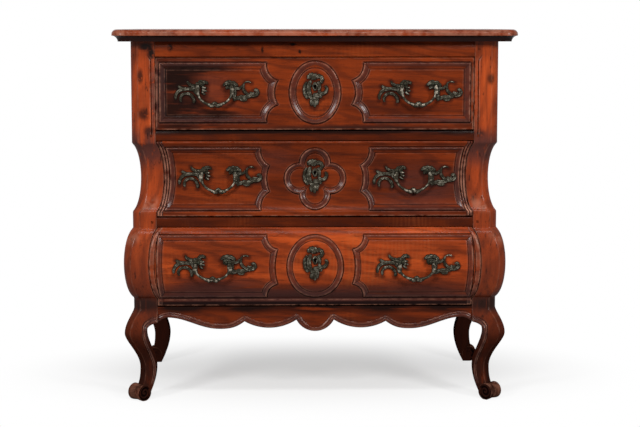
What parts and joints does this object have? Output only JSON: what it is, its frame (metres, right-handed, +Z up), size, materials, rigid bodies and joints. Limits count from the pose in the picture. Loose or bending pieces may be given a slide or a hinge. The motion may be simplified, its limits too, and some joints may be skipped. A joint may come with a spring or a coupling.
{
  "type": "chest of drawers",
  "caption": "Bombe chest of drawers with canted cabriole posts, shaped apron, ridge mouldings, scroll-and-leaf bail handles and keyhole plates.",
  "frame": {"origin": "on the floor under the middle of the top board", "axes": "+Z up, the front faces -Y, +X runs to the right of someone who stands before the chest"},
  "size_m": [0.985, 0.568, 0.92],
  "materials": {
    "walnut": "waxed, satin",
    "inner_wood": "bare, planed",
    "bronze": "dark patina, worn high spots",
    "iron": "dark, lightly rusted"
  },
  "bodies": {
    "carcase": {"top_board": "walnut", "front_left_post": "walnut", "front_right_post": "walnut", "rear_left_post": "walnut", "rear_right_post": "walnut", "frieze_rail": "walnut", "upper_rail": "walnut", "lower_rail": "walnut", "front_apron": "walnut", "left_side_top_rail": "walnut", "right_side_top_rail": "walnut", "left_side_panel": "walnut", "right_side_panel": "walnut", "left_side_apron": "walnut", "right_side_apron": "walnut", "rear_top_rail": "inner_wood", "rear_bottom_rail": "inner_wood", "back_boards": "inner_wood", "left_runners": "inner_wood", "right_runners": "inner_wood", "joint_pegs": "inner_wood", "upper_dustboard": "inner_wood", "lower_dustboard": "inner_wood", "bottom_board": "inner_wood"},
    "drawer_1": {"drawer_1_front": "walnut", "drawer_1_side_left": "inner_wood", "drawer_1_side_right": "inner_wood", "drawer_1_back": "inner_wood", "drawer_1_bottom": "inner_wood", "drawer_1_roses": "bronze", "drawer_1_pull_bolts": "bronze", "drawer_1_escutcheon": "bronze", "drawer_1_lock_case": "iron"},
    "lock_bolt_1": {"drawer_1_lock_bolt": "iron"},
    "bail_1_left": {"drawer_1_bail_left": "bronze"},
    "bail_1_right": {"drawer_1_bail_right": "bronze"},
    "drawer_2": {"drawer_2_front": "walnut", "drawer_2_side_left": "inner_wood", "drawer_2_side_right": "inner_wood", "drawer_2_back": "inner_wood", "drawer_2_bottom": "inner_wood", "drawer_2_roses": "bronze", "drawer_2_pull_bolts": "bronze", "drawer_2_escutcheon": "bronze", "drawer_2_lock_case": "iron"},
    "lock_bolt_2": {"drawer_2_lock_bolt": "iron"},
    "bail_2_left": {"drawer_2_bail_left": "bronze"},
    "bail_2_right": {"drawer_2_bail_right": "bronze"},
    "drawer_3": {"drawer_3_front": "walnut", "drawer_3_side_left": "inner_wood", "drawer_3_side_right": "inner_wood", "drawer_3_back": "inner_wood", "drawer_3_bottom": "inner_wood", "drawer_3_roses": "bronze", "drawer_3_pull_bolts": "bronze", "drawer_3_escutcheon": "bronze", "drawer_3_lock_case": "iron"},
    "lock_bolt_3": {"drawer_3_lock_bolt": "iron"},
    "bail_3_left": {"drawer_3_bail_left": "bronze"},
    "bail_3_right": {"drawer_3_bail_right": "bronze"}
  },
  "joints": [
    {"name": "drawer_1_slide", "type": "slide", "parent": "carcase", "child": "drawer_1", "axis": [0, -1, 0], "range_m": [0, 0.36]},
    {"name": "lock_bolt_1_slide", "type": "slide", "parent": "drawer_1", "child": "lock_bolt_1", "axis": [0, 0, 1], "range_m": [0, 0.009]},
    {"name": "bail_1_left_hinge", "type": "hinge", "parent": "drawer_1", "child": "bail_1_left", "pos_m": [-0.244, -0.252, 0.7886], "axis": [-1, 0, 0], "range_deg": [0, 110]},
    {"name": "bail_1_right_hinge", "type": "hinge", "parent": "drawer_1", "child": "bail_1_right", "pos_m": [0.253, -0.252, 0.7886], "axis": [-1, 0, 0], "range_deg": [0, 110]},
    {"name": "drawer_2_slide", "type": "slide", "parent": "carcase", "child": "drawer_2", "axis": [0, -1, 0], "range_m": [0, 0.36]},
    {"name": "lock_bolt_2_slide", "type": "slide", "parent": "drawer_2", "child": "lock_bolt_2", "axis": [0, 0, 1], "range_m": [0, 0.009]},
    {"name": "bail_2_left_hinge", "type": "hinge", "parent": "drawer_2", "child": "bail_2_left", "pos_m": [-0.238, -0.23321, 0.57545], "axis": [-1, 0, 0], "range_deg": [0, 110]},
    {"name": "bail_2_right_hinge", "type": "hinge", "parent": "drawer_2", "child": "bail_2_right", "pos_m": [0.242, -0.23321, 0.57545], "axis": [-1, 0, 0], "range_deg": [0, 110]},
    {"name": "drawer_3_slide", "type": "slide", "parent": "carcase", "child": "drawer_3", "axis": [0, -1, 0], "range_m": [0, 0.36]},
    {"name": "lock_bolt_3_slide", "type": "slide", "parent": "drawer_3", "child": "lock_bolt_3", "axis": [0, 0, 1], "range_m": [0, 0.009]},
    {"name": "bail_3_left_hinge", "type": "hinge", "parent": "drawer_3", "child": "bail_3_left", "pos_m": [-0.252, -0.27379, 0.3531], "axis": [-1, 0, 0], "range_deg": [0, 110]},
    {"name": "bail_3_right_hinge", "type": "hinge", "parent": "drawer_3", "child": "bail_3_right", "pos_m": [0.249, -0.27379, 0.3531], "axis": [-1, 0, 0], "range_deg": [0, 110]}
  ]
}
